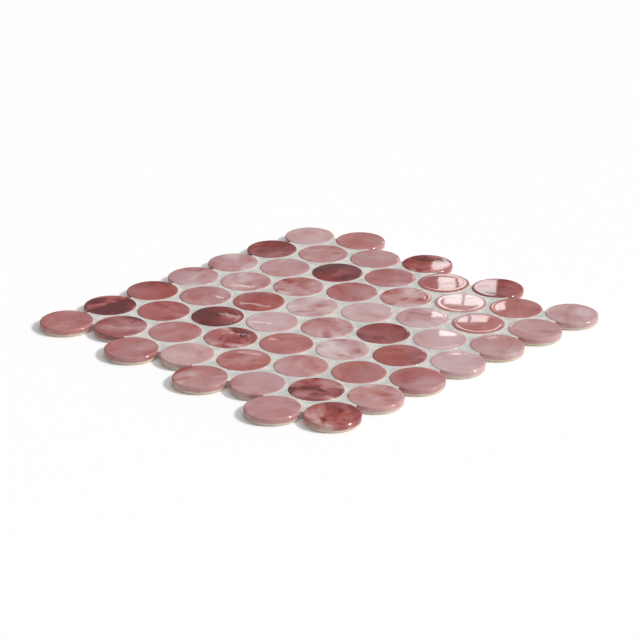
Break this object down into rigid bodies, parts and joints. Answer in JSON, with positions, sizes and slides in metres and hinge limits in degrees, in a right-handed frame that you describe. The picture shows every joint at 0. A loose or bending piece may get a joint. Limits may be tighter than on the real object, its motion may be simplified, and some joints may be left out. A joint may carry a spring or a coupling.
{
  "type": "circle mosaic tile sheet",
  "caption": "Square sheet of round glazed ceramic discs in a honeycomb pattern, held edge to edge by a pale joint filling, with staggered ends that interlock with the next sheet.",
  "frame": {"origin": "centre of the sheet's flat back", "axes": "+Z out of the glazed face, +Y along the straight columns of discs, +X across the columns"},
  "size_m": [0.3016, 0.3204, 0.006],
  "materials": {
    "disc_glaze": "gloss",
    "joint_filling": "matte"
  },
  "bodies": {
    "root": {"disc_column1_row1": "disc_glaze", "disc_column1_row2": "disc_glaze", "disc_column1_row3": "disc_glaze", "disc_column1_row4": "disc_glaze", "disc_column1_row5": "disc_glaze", "disc_column1_row6": "disc_glaze", "disc_column1_row7": "disc_glaze", "disc_column2_row1": "disc_glaze", "disc_column2_row2": "disc_glaze", "disc_column2_row3": "disc_glaze", "disc_column2_row4": "disc_glaze", "disc_column2_row5": "disc_glaze", "disc_column2_row6": "disc_glaze", "disc_column2_row7": "disc_glaze", "disc_column3_row1": "disc_glaze", "disc_column3_row2": "disc_glaze", "disc_column3_row3": "disc_glaze", "disc_column3_row4": "disc_glaze", "disc_column3_row5": "disc_glaze", "disc_column3_row6": "disc_glaze", "disc_column3_row7": "disc_glaze", "disc_column4_row1": "disc_glaze", "disc_column4_row2": "disc_glaze", "disc_column4_row3": "disc_glaze", "disc_column4_row4": "disc_glaze", "disc_column4_row5": "disc_glaze", "disc_column4_row6": "disc_glaze", "disc_column4_row7": "disc_glaze", "disc_column5_row1": "disc_glaze", "disc_column5_row2": "disc_glaze", "disc_column5_row3": "disc_glaze", "disc_column5_row4": "disc_glaze", "disc_column5_row5": "disc_glaze", "disc_column5_row6": "disc_glaze", "disc_column5_row7": "disc_glaze", "disc_column6_row1": "disc_glaze", "disc_column6_row2": "disc_glaze", "disc_column6_row3": "disc_glaze", "disc_column6_row4": "disc_glaze", "disc_column6_row5": "disc_glaze", "disc_column6_row6": "disc_glaze", "disc_column6_row7": "disc_glaze", "disc_column7_row1": "disc_glaze", "disc_column7_row2": "disc_glaze", "disc_column7_row3": "disc_glaze", "disc_column7_row4": "disc_glaze", "disc_column7_row5": "disc_glaze", "disc_column7_row6": "disc_glaze", "disc_column7_row7": "disc_glaze", "disc_column8_row1": "disc_glaze", "disc_column8_row2": "disc_glaze", "disc_column8_row3": "disc_glaze", "disc_column8_row4": "disc_glaze", "disc_column8_row5": "disc_glaze", "disc_column8_row6": "disc_glaze", "disc_column8_row7": "disc_glaze", "joint_filling": "joint_filling"}
  },
  "joints": []
}
